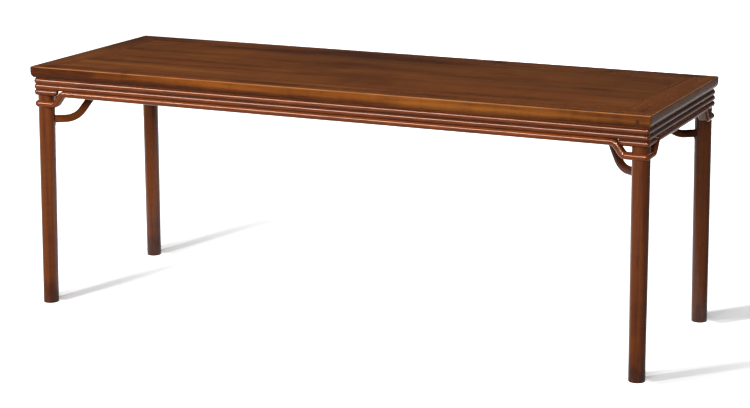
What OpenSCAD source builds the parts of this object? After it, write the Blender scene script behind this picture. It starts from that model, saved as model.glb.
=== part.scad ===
// A long painting table with a framed top, stacked bead mouldings, hump-back
// stretchers that wrap round four round legs, and a curved brace inside each leg.
// Origin on the floor under the middle of the top. The long front edge faces -Y.

/* [Table] */
// Length of the top along X
table_l = 2150; // [1900:10:2400]
// Depth of the top along Y
table_d = 745; // [680:5:820]
// Height of the top above the floor
table_h = 820; // [780:5:860]

/* [Top frame] */
// Thickness of the frame
frame_t = 38; // [36:1:44]
// Width of the four rails
rail_w = 96; // [90:1:110]
// Radius of the soft upper arris
arris_r = 5; // [3:0.5:7]
// Radius of the frame's corners in plan
frame_corner_r = 5; // [3:0.5:7]
// Height of the curve that draws the lower edge in
under_curve_h = 19; // [14:1:22]
// How far that curve draws the lower edge in
under_curve_in = 9; // [7:0.5:11]
// Thickness of the tenon in each mitre
mitre_tenon_t = 12; // [9:1:14]
// Width of the tenon in each mitre
mitre_tenon_w = 23; // [18:1:24]
// Wood left between that tenon and the outer edge
mitre_tenon_cover = 14; // [10:1:20]

/* [Panel] */
// Thickness of the panel boards
panel_t = 16; // [14:1:18]
// Thickness of the tongues in the frame
tongue_t = 6; // [4:0.5:7]
// Distance of those tongues below the middle of the boards
tongue_low = 2; // [0.5:0.5:3]
// Length of the tongues
tongue_l = 9; // [6:0.5:11]
// Thickness of the tongue between the two boards
joint_tongue_t = 4; // [3:0.5:5]
// Wood above the tongue between the two boards
joint_cover = 5; // [4:0.5:6]
// Seam left for the panel to swell
seam = 0.3; // [0.2:0.1:0.6]
// Spare depth at the bottom of each groove
groove_spare = 1; // [0.5:0.5:2]

/* [Battens] */
// Width of a batten
batten_w = 40; // [36:1:50]
// Distance from the table's end to the middle of the end batten
end_batten_in = 223; // [210:1:260]
// Height of the dovetail that holds the panel
dovetail_h = 5; // [3:0.5:6]
// Width of the dovetail at its neck
dovetail_neck = 24; // [20:1:28]
// Spread of the dovetail on each side
dovetail_flare = 2; // [1:0.5:3]
// Length of the tenons into the long rails
batten_tenon_l = 15; // [10:1:22]
// Width of the tenons into the long rails
batten_tenon_w = 26; // [20:1:32]

/* [Bead mouldings] */
// Height of one bead
bead_h = 19; // [17:0.5:21]
// Depth of the moulding strips
bead_d = 12.5; // [12:0.5:15]
// Radius of the bead's round face
bead_face_r = 11; // [10.5:0.5:14]
// Distance from the frame's edge to the bead's face
bead_in = 6; // [4:0.5:8]
// Radius at the back of the beads' corners in plan
bead_inner_r = 0.5; // [0.5:0.5:3]
// Height of the shadow gap under the frame
gap_h = 3; // [2:0.5:5]
// Distance from the frame's edge to the back of the shadow gap
gap_in = 11.5; // [11:0.5:12]
// Distance from the table's corner to the tip of a collar
collar_reach = 99; // [92:1:105]
// Radius of the rounded lower end of a collar
collar_end_r = 14; // [8:1:17]

/* [Stretchers] */
// Height of a stretcher
stretcher_h = 20; // [18:0.5:22]
// Depth of a stretcher
stretcher_d = 34; // [30:1:38]
// Radius of the stretcher's round faces
stretcher_face_r = 11; // [11:0.5:14]
// Distance from the frame's edge to the stretcher's face
stretcher_in = 4.5; // [3.5:0.5:6]
// Radius of the wrap's corner in plan
wrap_corner_r = 20; // [14:1:22]
// Distance from the table's corner to the start of the rise
rise_start = 77; // [74:1:86]
// Slope of the rise in degrees, 4 up to 3 along or 3 up to 4 along
rise_slope = 53.1301; // [36.8699, 53.1301]
// Length of the straight part of the rise
rise_line = 30.75; // [26:0.25:38]
// Bend radius along the middle of the rise
rise_bend_r = 18; // [15:1:20]
// Height and width of the stretchers' tenons
stretcher_tenon = 10; // [8:0.5:12]
// Length of the stretchers' tenons in the leg
stretcher_tenon_l = 18; // [12:1:20]
// Distance of those tenons from the middle of the leg
stretcher_tenon_off = 2; // [1:0.5:3]

/* [Legs] */
// Radius of the leg at the floor
leg_foot_r = 26.2; // [24:0.2:28]
// Radius of the leg at the underside of the frame
leg_head_r = 28.2; // [26.6:0.2:29.2]
// Distance from the table's edges to the middle of the foot
foot_in = 29; // [28:0.5:31]
// Lean of the leg towards each side, in degrees
leg_lean = 0.7; // [0.4:0.1:0.8]
// Height of the long head tenon
long_tenon_h = 24; // [18:1:28]
// Height of the short head tenon
short_tenon_h = 16; // [10:1:22]
// Thickness of the head tenons
head_tenon_t = 10; // [8:1:11]
// Width of the head tenons
head_tenon_w = 16; // [12:1:17]
// Distance of the head tenons from the middle of the leg
head_tenon_off = 2; // [1:0.5:3]

/* [Braces] */
// Height of a brace
brace_h = 25; // [22:1:28]
// Thickness of a brace
brace_t = 22; // [18:1:25]
// Radius of a brace's long edges
brace_edge_r = 8; // [5:1:8.5]
// Plan angle of a brace from the long side, in degrees
brace_plan = 37; // [34:0.5:41]
// Slope of the brace in degrees, 4 up to 3 along or 24 up to 7 along
brace_slope = 53.1301; // [53.1301, 73.7398]
// Length of the straight part of a brace
brace_line = 111.25; // [104:0.25:118]
// Bend radius above the leg, along the middle
brace_low_r = 70; // [60:2:76]
// Bend radius under the batten, along the middle
brace_high_r = 40; // [34:2:48]
// Length of the flat head under the batten
brace_lap = 30; // [24:1:34]
// Length of the brace's tenon in the leg
brace_tenon_l = 24; // [18:1:28]
// Width of the brace's tenon
brace_tenon_w = 12; // [10:1:14]
// Shoulder above the brace's tenon
brace_shoulder = 5; // [3:0.5:7]
// How much the tenon hooks down at its inner end
brace_hook = 3; // [1:0.5:4]
// Height of the wedge under the tenon at the leg's face
wedge_h = 8; // [7:0.5:10]

/* [Pegs] */
// Diameter of the pegs in the mouldings
peg_d = 5; // [4:0.5:6]
// Length of a moulding peg in the frame
peg_in_frame = 14; // [10:1:20]
// Length of a moulding peg in the lower bead
peg_in_bead = 13; // [9:1:16]
// Length of a short peg on either side of its joint
short_peg_half = 11; // [8:1:14]
// Moulding pegs along a long side
pegs_long = 7; // [4:1:9]
// Moulding pegs along a short side
pegs_short = 3; // [2:1:4]
// Distance from the table's corner to the first moulding peg
peg_end_in = 140; // [130:5:170]
// Diameter of the pins in the mitres and the brace heads
pin_d = 8; // [6:0.5:10]
// Length of a brace pin in its batten
brace_pin_in = 9; // [5:1:12]
// Length of a mitre pin above its tenon
mitre_pin_over = 5; // [3:0.5:7]

/* [Hidden] */
$fn = 64;
wood = "saddlebrown";
pale_wood = "peru";
// Margin by which cutting shapes run past a face
over = 1;
// Wood behind the pegs in the mouldings
peg_cover = 1.5;
// Wood between the panel groove and the mitre tenon
groove_cover = 2;
// Length by which a tenon runs back into its own bar
tenon_root = 5;
// Length by which the leg's shaft runs past the floor and the frame
shaft_past = 30;
// Reach of the shapes that cut a bend to its angle
bend_reach = 300;
// Battens across the panel, from the left end to the right
batten_count = 5;

frame_z = table_h - frame_t;
panel_z = table_h - panel_t;
tongue_z = panel_z + (panel_t - tongue_t) / 2 - tongue_low;
joint_tongue_z = table_h - joint_cover - joint_tongue_t;
bead_top_z = frame_z - gap_h;
upper_bead_z = bead_top_z - bead_h;
lower_bead_z = upper_bead_z - bead_h;
collar_z = lower_bead_z - bead_h;
head_in = bead_in + bead_d;
bead_corner_r = bead_d + bead_inner_r;
peg_in = head_in - peg_d / 2 - peg_cover;

hump_drop = 2 * rise_bend_r * (1 - cos(rise_slope)) + rise_line * sin(rise_slope);
rise_run = 2 * rise_bend_r * sin(rise_slope) + rise_line * cos(rise_slope);
hump_z = lower_bead_z - stretcher_h / 2;
wrap_z = hump_z - hump_drop;

leg_tilt = atan(sqrt(2) * tan(leg_lean));
leg_axis_l = frame_z / cos(leg_tilt);

// Middle of the leg, measured in from the table's edges, at height z
function leg_in(z) = foot_in + z * tan(leg_lean);
// Radius of the leg at height z
function leg_r(z) = leg_foot_r + (leg_head_r - leg_foot_r) * z / frame_z;

brace_bends = brace_low_r + brace_high_r;
brace_climb = brace_bends * (1 - cos(brace_slope)) + brace_line * sin(brace_slope);
brace_run = brace_bends * sin(brace_slope) + brace_line * cos(brace_slope);
brace_z = frame_z - brace_h / 2 - brace_climb;
brace_leg_in = leg_in(brace_z);
brace_leg_r = leg_r(brace_z);
brace_reach = (end_batten_in - brace_leg_in) / cos(brace_plan);
brace_level = brace_reach - brace_lap / 2 - brace_run;
brace_pin_l = brace_h + brace_pin_in;

// Sides are numbered front 0, right 1, back 2, left 3
function side_l(k) = k % 2 == 0 ? table_l : table_d;
function side_off(k) = k % 2 == 0 ? table_d : table_l;
function peg_count(k) = k % 2 == 0 ? pegs_long : pegs_short;
function peg_at(k, i) = peg_end_in + i * (side_l(k) - 2 * peg_end_in) / (peg_count(k) - 1);
function batten_at(i) = end_batten_in + i * (table_l - 2 * end_batten_in) / (batten_count - 1);
// The stretcher pegs stand between the moulding pegs
function between_pegs(k, i) = (peg_at(k, i) + peg_at(k, i + 1)) / 2;

// Places children on side k, with x along the side, y in from the edge and z up
module on_side(k) {
    rotate([0, 0, 90 * k])
        translate([-side_l(k) / 2, -side_off(k) / 2, 0])
            children();
}

// Places children at a corner, with x and y in from the table's edges
module at_corner(right, back) {
    mirror([right, 0, 0])
        mirror([0, back, 0])
            translate([-table_l / 2, -table_d / 2, 0])
                children();
}

// Repeats children at both ends of side k, the second time mirrored
module both_ends(k) {
    children();
    translate([side_l(k), 0, 0])
        mirror([1, 0, 0])
            children();
}

// Draws a section out along x: the section's x becomes y, its y becomes z
module along_x(length) {
    rotate([90, 0, 90])
        linear_extrude(length)
            children();
}

// Bends a section upwards through an angle, starting along x
module bend_up(radius, angle) {
    end = bend_reach * [cos(angle), sin(angle)];
    translate([0, 0, radius])
        rotate([90, 90, 0])
            intersection() {
                rotate_extrude(angle = 90)
                    translate([radius, 0])
                        mirror([0, 1])
                            rotate(90)
                                children();
                linear_extrude(4 * bend_reach, center = true)
                    polygon([[0, 0], [0, -bend_reach], [bend_reach, -bend_reach], [bend_reach, 0], end]);
            }
}

// Bends a section up for a positive angle and down for a negative one
module bend(radius, angle) {
    if (angle > 0) {
        bend_up(radius, angle)
            children();
    } else {
        mirror([0, 0, 1])
            bend_up(radius, -angle)
                mirror([0, 1])
                    children();
    }
}

// Runs a section along steps of [straight length, bend radius, bend angle]
module bar_path(steps, i = 0) {
    step = steps[i];
    along_x(step[0])
        children();
    if (i < len(steps) - 1) {
        rise = step[1] * (1 - cos(step[2]));
        translate([step[0], 0, 0]) {
            bend(step[1], step[2])
                children();
            translate([step[1] * sin(abs(step[2])), 0, sign(step[2]) * rise])
                rotate([0, -step[2], 0])
                    bar_path(steps, i + 1)
                        children();
        }
    }
}

// A quarter turn of a section about the upright axis, corner_r behind its face
module quarter_turn(corner_r) {
    rotate([0, 0, 180])
        rotate_extrude(angle = 90)
            translate([corner_r, 0])
                mirror([1, 0])
                    children();
}

// The half corners at both ends of side k, each cut to its mitre
module mitred_corners(k, inset, corner_r) {
    turn = inset + corner_r;
    both_ends(k)
        translate([turn, turn, 0])
            intersection() {
                quarter_turn(corner_r)
                    children();
                linear_extrude(table_h + over)
                    polygon([[0, 0], [-2 * corner_r, -2 * corner_r], [2 * corner_r, -2 * corner_r]]);
            }
}

// A strip along side k that rounds its corners, with its section at its height
module rounded_strip(k, inset, corner_r) {
    turn = inset + corner_r;
    on_side(k) {
        translate([turn, inset, 0])
            along_x(side_l(k) - 2 * turn)
                children();
        mitred_corners(k, inset, corner_r)
            children();
    }
}

// A bar with its outer face at x = 0, rounded there and on request at the back
module rounded_bar(width, height, face_r, round_back = false) {
    difference() {
        translate([0, -height / 2])
            square([width, height]);
        round_cut(height, face_r);
        if (round_back)
            translate([width, 0])
                mirror([1, 0])
                    round_cut(height, face_r);
    }
}

// What a round face takes off a square edge
module round_cut(height, face_r) {
    difference() {
        translate([-over, -height / 2 - over])
            square([face_r + over, height + 2 * over]);
        translate([face_r, 0])
            circle(face_r);
    }
}

// Section of the frame rails, with its outer edge at x = 0
module rail_section() {
    curve_r = (pow(under_curve_in, 2) + pow(under_curve_h, 2)) / (2 * under_curve_in);
    groove_l = tongue_l + groove_spare;
    difference() {
        translate([0, frame_z])
            square([rail_w, frame_t]);
        difference() {
            translate([-over, table_h - arris_r])
                square([arris_r + over, arris_r + over]);
            translate([arris_r, table_h - arris_r])
                circle(arris_r);
        }
        difference() {
            translate([-over, frame_z - over])
                square([curve_r + over, under_curve_h + over]);
            translate([curve_r, frame_z + under_curve_h])
                circle(curve_r);
        }
        translate([rail_w - groove_l, tongue_z])
            square([groove_l + over, tongue_t]);
    }
}

// Space of the tenon across one mitre, at the front left corner
module mitre_tenon(extra = 0) {
    tenon_y = rail_w - tongue_l - groove_spare - mitre_tenon_w - groove_cover;
    translate([mitre_tenon_cover, tenon_y, frame_z + (frame_t - panel_t - mitre_tenon_t) / 2])
        cube([rail_w - mitre_tenon_cover + extra, mitre_tenon_w, mitre_tenon_t]);
}

// Pin through the mitre tenon, from under the frame, at the front left corner
module mitre_pin(extra = 0) {
    pin_y = rail_w - tongue_l - groove_spare - mitre_tenon_w / 2 - groove_cover;
    pin_x = (mitre_tenon_cover + pin_y) / 2;
    pin_l = (frame_t - panel_t + mitre_tenon_t) / 2 + mitre_pin_over;
    translate([pin_x, pin_y, frame_z - extra])
        cylinder(h = pin_l + extra, d = pin_d);
}

// A rail of the frame, mitred, with its corners eased in plan
module mitred_rail(k) {
    length = side_l(k);
    difference() {
        intersection() {
            along_x(length)
                rail_section();
            linear_extrude(table_h + over)
                polygon([[0, 0], [length, 0], [length - rail_w, rail_w], [rail_w, rail_w]]);
        }
        both_ends(k)
            difference() {
                translate([-over, -over, 0])
                    cube([frame_corner_r + over, frame_corner_r + over, table_h + over]);
                translate([frame_corner_r, frame_corner_r, -over])
                    cylinder(h = table_h + 3 * over, r = frame_corner_r);
            }
    }
}

// The long rails carry the tenons of the mitres, the short rails their mortises
module top_rail(k) {
    long_rail = k % 2 == 0;
    color(wood)
        difference() {
            on_side(k) {
                mitred_rail(k);
                if (long_rail)
                    both_ends(k)
                        mitre_tenon();
            }
            if (!long_rail)
                on_side(k)
                    both_ends(k)
                        mirror([1, -1, 0])
                            mitre_tenon(over);
            each_corner() {
                mitre_pin(over);
                leg_head_tenons();
            }
            all_batten_bodies();
            moulding_peg_row(k);
        }
}

// Repeats children at the four corners
module each_corner() {
    for (right = [0, 1])
        for (back = [0, 1])
            at_corner(right, back)
                children();
}

// Panel boards

// One half of the panel with its tongues, before the joint in the middle
module panel_half() {
    inner = rail_w + seam;
    tip = rail_w - tongue_l;
    middle = table_d / 2;
    translate([inner, inner, panel_z])
        cube([table_l - 2 * inner, middle - inner, panel_t]);
    translate([tip, tip, tongue_z])
        cube([table_l - 2 * tip, middle - tip, tongue_t]);
}

// Tongue of the front board in the back board
module joint_tongue(length, extra = 0) {
    translate([rail_w + seam - extra, table_d / 2 - over, joint_tongue_z])
        cube([table_l - 2 * (rail_w + seam - extra), length + over, joint_tongue_t]);
}

module panel_board_front() {
    color(wood)
        difference() {
            on_side(0) {
                panel_half();
                joint_tongue(tongue_l);
            }
            all_batten_bodies();
        }
}

module panel_board_back() {
    color(wood)
        difference() {
            on_side(2)
                panel_half();
            on_side(0)
                joint_tongue(tongue_l + groove_spare, over);
            all_batten_bodies();
        }
}

// Battens

// Batten i with its dovetail and its two tenons, without the pin holes
module batten_body(i) {
    body_h = frame_t - panel_t;
    tenon_t = body_h / 2;
    neck = dovetail_neck / 2;
    spread = neck + dovetail_flare;
    on_side(0)
        translate([batten_at(i), 0, 0]) {
            translate([-batten_w / 2, rail_w, frame_z])
                cube([batten_w, table_d - 2 * rail_w, body_h]);
            translate([-batten_tenon_w / 2, rail_w - batten_tenon_l, frame_z + tenon_t / 2])
                cube([batten_tenon_w, table_d - 2 * (rail_w - batten_tenon_l), tenon_t]);
            translate([0, table_d - rail_w, panel_z])
                rotate([90, 0, 0])
                    linear_extrude(table_d - 2 * rail_w)
                        polygon([
                            [-neck, -over], [neck, -over], [neck, 0], [spread, dovetail_h],
                            [-spread, dovetail_h], [-neck, 0]
                        ]);
        }
}

module all_batten_bodies() {
    for (i = [0 : batten_count - 1])
        batten_body(i);
}

module batten(i) {
    color(wood)
        difference() {
            batten_body(i);
            each_corner()
                brace_pin();
        }
}

// Bead mouldings

module bead_section(z) {
    translate([0, z + bead_h / 2])
        rounded_bar(bead_d, bead_h, bead_face_r);
}

module upper_bead(k) {
    color(wood)
        difference() {
            rounded_strip(k, bead_in, bead_corner_r) {
                union() {
                    bead_section(upper_bead_z);
                    translate([gap_in - bead_in, bead_top_z - over])
                        square([head_in - gap_in, gap_h + over]);
                }
            }
            moulding_peg_row(k);
        }
}

module lower_bead(k) {
    color(wood)
        difference() {
            rounded_strip(k, bead_in, bead_corner_r)
                bead_section(lower_bead_z);
            moulding_peg_row(k);
            stretcher_peg_row(k);
            collar_peg_pair(k);
        }
}

// Collar over one leg: a strip turned through a right angle, its ends rounded off below
module collar(right, back) {
    turn = bead_in + bead_corner_r;
    color(wood)
        at_corner(right, back)
            difference() {
                union() {
                    translate([turn, turn, 0])
                        quarter_turn(bead_corner_r)
                            bead_section(collar_z);
                    both_arms()
                        translate([turn, bead_in, 0])
                            along_x(collar_reach - turn)
                                bead_section(collar_z);
                }
                both_arms()
                    collar_end_cut();
                both_arms()
                    collar_peg();
            }
}

// Repeats children on the x arm and the y arm of a corner
module both_arms() {
    for (turned = [0, 1])
        mirror([turned, -turned, 0])
            children();
}

module collar_end_cut() {
    end_x = collar_reach - collar_end_r;
    difference() {
        translate([end_x, 0, collar_z - over])
            cube([collar_end_r + over, head_in + over, collar_end_r + over]);
        translate([end_x, -over, collar_z + collar_end_r])
            rotate([-90, 0, 0])
                cylinder(h = head_in + 3 * over, r = collar_end_r);
    }
}

// Stretchers

// Section of the wrap round the corner, all of it outside the middle of the leg
module wrap_section() {
    translate([0, wrap_z])
        rounded_bar(wrap_corner_r - over / 2, stretcher_h, stretcher_face_r);
}

// Tenon of a stretcher in the leg at the near end of its side
module stretcher_tenon(extra = 0) {
    leg_x = leg_in(wrap_z);
    inner_x = leg_x + leg_r(wrap_z) - stretcher_tenon_l;
    tenon_y = leg_x - stretcher_tenon - stretcher_tenon_off;
    translate([inner_x, tenon_y, wrap_z - stretcher_tenon / 2])
        cube([stretcher_tenon_l + extra, stretcher_tenon, stretcher_tenon]);
}

module stretcher(k) {
    start = stretcher_in + wrap_corner_r;
    hump_l = side_l(k) - 2 * (rise_start + rise_run);
    level = rise_start - start;
    color(wood)
        difference() {
            on_side(k) {
                difference() {
                    union() {
                        translate([start, stretcher_in, wrap_z])
                            bar_path([
                                [level, rise_bend_r, rise_slope],
                                [rise_line, rise_bend_r, -rise_slope],
                                [hump_l, rise_bend_r, -rise_slope],
                                [rise_line, rise_bend_r, rise_slope],
                                [level]
                            ])
                                rounded_bar(stretcher_d, stretcher_h, stretcher_face_r, true);
                        mitred_corners(k, stretcher_in, wrap_corner_r)
                            wrap_section();
                    }
                    both_ends(k)
                        leg_shaft();
                }
                both_ends(k)
                    stretcher_tenon(tenon_root);
            }
            stretcher_peg_row(k);
        }
}

// Legs

// The round leg at the front left corner, run past the floor and the frame
module leg_shaft() {
    taper = (leg_head_r - leg_foot_r) / frame_z;
    translate([foot_in, foot_in, 0])
        rotate(a = leg_tilt, v = [-1, 1, 0])
            translate([0, 0, -shaft_past])
                cylinder(
                    h = leg_axis_l + 2 * shaft_past,
                    r1 = leg_foot_r - shaft_past * taper,
                    r2 = leg_head_r + shaft_past * taper
                );
}

// The long tenon stands in the long rail, the short one in the short rail
module leg_head_tenons() {
    near = leg_in(frame_z) + head_tenon_off;
    far = leg_in(frame_z) - head_tenon_off - head_tenon_t;
    translate([near, far, frame_z - over])
        cube([head_tenon_w, head_tenon_t, long_tenon_h + over]);
    translate([far, near, frame_z - over])
        cube([head_tenon_t, head_tenon_w, short_tenon_h + over]);
}

module leg(right, back) {
    block = 4 * leg_head_r;
    color(wood)
        at_corner(right, back) {
            difference() {
                intersection() {
                    leg_shaft();
                    translate([-block / 4, -block / 4, 0])
                        cube([block, block, frame_z]);
                }
                translate([-block / 2, -block / 2, collar_z])
                    cube([block / 2 + head_in, 2 * block, frame_z]);
                translate([-block / 2, -block / 2, collar_z])
                    cube([2 * block, block / 2 + head_in, frame_z]);
                both_arms()
                    stretcher_tenon(over);
                brace_tenon(over);
                brace_wedge(over);
            }
            leg_head_tenons();
        }
}

// Braces

// Places children at the middle of the leg, with x along the brace
module along_brace() {
    translate([brace_leg_in, brace_leg_in, brace_z])
        rotate([0, 0, brace_plan])
            children();
}

module brace_section() {
    difference() {
        translate([-brace_t / 2, -brace_h / 2])
            square([brace_t, brace_h]);
        for (side = [0, 1])
            for (top = [0, 1])
                mirror([side, 0])
                    mirror([0, top])
                        difference() {
                            translate([brace_t / 2 - brace_edge_r, brace_h / 2 - brace_edge_r])
                                square(brace_edge_r + over);
                            translate([brace_t / 2 - brace_edge_r, brace_h / 2 - brace_edge_r])
                                circle(brace_edge_r);
                        }
    }
}

// Tenon of the brace, deeper at its inner end so that the wedge locks it
module brace_tenon(extra = 0) {
    inner = brace_leg_r - brace_tenon_l;
    outer = brace_leg_r + tenon_root + extra;
    top = brace_h / 2 - brace_shoulder;
    bottom = -brace_h / 2;
    along_brace()
        translate([0, brace_tenon_w / 2, 0])
            rotate([90, 0, 0])
                linear_extrude(brace_tenon_w)
                    polygon([
                        [inner, top], [outer, top], [outer, bottom], [brace_leg_r, bottom],
                        [inner, bottom - brace_hook]
                    ]);
}

// Wedge under the tenon, thinner at its inner end
module brace_wedge(extra = 0) {
    inner = brace_leg_r - brace_tenon_l;
    top = -brace_h / 2;
    along_brace()
        translate([0, brace_tenon_w / 2, 0])
            rotate([90, 0, 0])
                linear_extrude(brace_tenon_w)
                    polygon([
                        [inner, top - brace_hook], [brace_leg_r, top], [brace_leg_r + extra, top],
                        [brace_leg_r + extra, top - wedge_h], [inner, top - wedge_h]
                    ]);
}

// Pin up through the flat head of the brace into the batten
module brace_pin(extra = 0) {
    along_brace()
        translate([brace_reach, 0, brace_climb - brace_h / 2 - extra])
            cylinder(h = brace_pin_l + extra, d = pin_d);
}

module brace(right, back) {
    color(wood)
        at_corner(right, back)
            difference() {
                union() {
                    difference() {
                        along_brace()
                            translate([brace_leg_r / 2, 0, 0])
                                bar_path([
                                    [brace_level - brace_leg_r / 2, brace_low_r, brace_slope],
                                    [brace_line, brace_high_r, -brace_slope],
                                    [brace_lap]
                                ])
                                    brace_section();
                        leg_shaft();
                    }
                    brace_tenon();
                }
                brace_pin(over);
            }
}

// Pegs, pins and wedges

module moulding_peg_row(k) {
    peg_l = peg_in_frame + gap_h + bead_h + peg_in_bead;
    on_side(k)
        for (i = [0 : peg_count(k) - 1])
            translate([peg_at(k, i), peg_in, frame_z + peg_in_frame - peg_l])
                cylinder(h = peg_l, d = peg_d);
}

module stretcher_peg_row(k) {
    on_side(k)
        for (i = [0 : peg_count(k) - 2])
            translate([between_pegs(k, i), peg_in, lower_bead_z - short_peg_half])
                cylinder(h = 2 * short_peg_half, d = peg_d);
}

// Peg from an arm of the collar up into the lower bead
module collar_peg() {
    translate([collar_reach - collar_end_r - peg_d, peg_in, lower_bead_z - short_peg_half])
        cylinder(h = 2 * short_peg_half, d = peg_d);
}

module collar_peg_pair(k) {
    on_side(k)
        both_ends(k)
            collar_peg();
}

module brace_wedges() {
    color(pale_wood)
        each_corner()
            intersection() {
                brace_wedge();
                leg_shaft();
            }
}

module brace_pins() {
    color(pale_wood)
        each_corner()
            brace_pin();
}

module mitre_pins() {
    color(pale_wood)
        each_corner()
            mitre_pin();
}

module moulding_pegs() {
    color(pale_wood)
        for (k = [0 : 3])
            moulding_peg_row(k);
}

module stretcher_pegs() {
    color(pale_wood)
        for (k = [0 : 3])
            stretcher_peg_row(k);
}

module collar_pegs() {
    color(pale_wood)
        for (k = [0 : 3])
            collar_peg_pair(k);
}

top_rail(0);  // top_rail_front
top_rail(1);  // top_rail_right
top_rail(2);  // top_rail_back
top_rail(3);  // top_rail_left
panel_board_front();
panel_board_back();
batten(0);  // batten_far_left
batten(1);  // batten_left
batten(2);  // batten_middle
batten(3);  // batten_right
batten(4);  // batten_far_right
upper_bead(0);  // upper_bead_front
upper_bead(1);  // upper_bead_right
upper_bead(2);  // upper_bead_back
upper_bead(3);  // upper_bead_left
lower_bead(0);  // lower_bead_front
lower_bead(1);  // lower_bead_right
lower_bead(2);  // lower_bead_back
lower_bead(3);  // lower_bead_left
collar(0, 0);  // collar_front_left
collar(1, 0);  // collar_front_right
collar(0, 1);  // collar_back_left
collar(1, 1);  // collar_back_right
stretcher(0);  // stretcher_front
stretcher(1);  // stretcher_right
stretcher(2);  // stretcher_back
stretcher(3);  // stretcher_left
leg(0, 0);  // leg_front_left
leg(1, 0);  // leg_front_right
leg(0, 1);  // leg_back_left
leg(1, 1);  // leg_back_right
brace(0, 0);  // brace_front_left
brace(1, 0);  // brace_front_right
brace(0, 1);  // brace_back_left
brace(1, 1);  // brace_back_right
brace_wedges();
brace_pins();
mitre_pins();
moulding_pegs();
stretcher_pegs();
collar_pegs();
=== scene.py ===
"""Long painting table: finished wood pieces, a plain stage and a camera over the packed frame."""

import math

import bmesh
import bpy
from mathutils import Euler, Matrix, Vector

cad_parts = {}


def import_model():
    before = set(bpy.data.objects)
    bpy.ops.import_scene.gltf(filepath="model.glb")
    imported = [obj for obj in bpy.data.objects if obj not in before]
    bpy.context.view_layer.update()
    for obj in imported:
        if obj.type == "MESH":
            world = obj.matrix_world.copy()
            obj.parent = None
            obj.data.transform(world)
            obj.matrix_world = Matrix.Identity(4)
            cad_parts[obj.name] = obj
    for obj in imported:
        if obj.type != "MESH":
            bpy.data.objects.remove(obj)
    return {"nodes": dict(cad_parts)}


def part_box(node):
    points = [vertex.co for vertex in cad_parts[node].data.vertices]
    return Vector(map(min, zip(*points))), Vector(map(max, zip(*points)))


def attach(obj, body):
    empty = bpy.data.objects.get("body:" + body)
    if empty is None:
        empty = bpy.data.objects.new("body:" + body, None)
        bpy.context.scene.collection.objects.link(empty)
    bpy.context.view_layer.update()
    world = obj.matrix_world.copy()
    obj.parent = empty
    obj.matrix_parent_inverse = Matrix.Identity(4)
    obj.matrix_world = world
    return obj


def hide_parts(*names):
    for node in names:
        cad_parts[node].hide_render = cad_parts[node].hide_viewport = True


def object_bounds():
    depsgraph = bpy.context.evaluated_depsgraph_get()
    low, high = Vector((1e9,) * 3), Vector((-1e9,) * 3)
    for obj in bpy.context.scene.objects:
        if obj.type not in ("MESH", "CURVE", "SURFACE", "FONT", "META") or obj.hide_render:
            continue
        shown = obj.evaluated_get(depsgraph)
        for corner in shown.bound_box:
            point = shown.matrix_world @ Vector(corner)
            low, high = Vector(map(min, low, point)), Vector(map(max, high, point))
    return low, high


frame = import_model()
CAD_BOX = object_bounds()

bl_info = {
    "name": "Painting table",
    "version": (1, 0, 0),
    "blender": (4, 5, 0),
    "location": "View3D > Sidebar > Table",
    "description": "Builds the finished pieces of a long painting table with round legs",
    "category": "Object",
}

SIDES = ("front", "right", "back", "left")
CORNERS = ("front_left", "front_right", "back_left", "back_right")
BATTENS = ("far_left", "left", "middle", "right", "far_right")
HIDDEN_PEGS = ("moulding_pegs", "stretcher_pegs", "collar_pegs")
VERT = bmesh.types.BMVert
EDGE = bmesh.types.BMEdge

# All shapes are drawn in millimetres and placed in metres
MM = 0.001

# Points nearer than this are one point, in millimetres
WELD = 0.0005

# Distance of the extra ring beside a bend that keeps the shading straight, in millimetres
GUARD = 0.8

# Edges that turn further than this are shaded as edges
SHARP_ANGLE = math.radians(32)

# Directions of the grain
WITH_X = (0, 0, 0)
WITH_Y = (0, 0, math.radians(90))
WITH_Z = (0, math.radians(-90), 0)

# Bare wood that shows through the wax along the upper edge, pale enough to stand as a painted highlight there
# too
ARRIS_WEAR_AND_HIGHLIGHT = (0.48, 0.20, 0.08)

# Tints of the light that a surface reflects
WAX_TINT = (1.0, 0.74, 0.60, 1.0)
WHITE = (1.0, 1.0, 1.0, 1.0)

# Width of the wear along an edge, and depth of the relief of the grain, in metres
WORN_WIDTH = 0.0022
RELIEF_DEPTH = 0.0004

# Dark marks: the middle and the reach along each axis, in metres, and the strength
FRONT_EDGE = CAD_BOX[0].y
TOP_FACE = CAD_BOX[1].z
TOP_MARK = ((-0.12, 0.26, TOP_FACE), (0.62, 0.26, 0.05), 0.55)
FRONT_MARKS = (
    ((-0.869, FRONT_EDGE, 0.807), (0.06, 0.03, 0.013), 0.6),
    ((-0.709, -0.366, TOP_FACE), (0.022, 0.014, 0.01), 0.9),
    ((1.0345, FRONT_EDGE, 0.798), (0.009, 0.03, 0.012), 0.6),
)

# A leg's shadow on the white floor, in metres: its length, and half its width with and without the soft edge
SHADOW_REACH = 1.4
SHADOW_WIDE = 0.10
SHADOW_CORE = 0.05

# How much of the main lamp's shadow the white floor keeps
SHADOW_DEPTH = 0.86

# The floor: its size in metres, the grey that it lights the table with, and the white that the camera sees
FLOOR_SIZE = 40
FLOOR_GREY = (0.3, 0.3, 0.3)
FLOOR_WHITE = (0.94, 0.94, 0.94)

# How white the floor shows in the wax, how much more it does under and behind the table,
# and between which places it fades in front of the table and to its right, in metres
MIRRORED = 0.08
MIRRORED_MORE = 0.8
MIRRORED_FRONT = (-0.5, -0.1)
MIRRORED_RIGHT = (1.5, 1.0)

# Strength of the light from all round, and of what the wax shows of it
ROUND_LIGHT = 0.24
ROUND_GLOSS = 0.05

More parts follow.
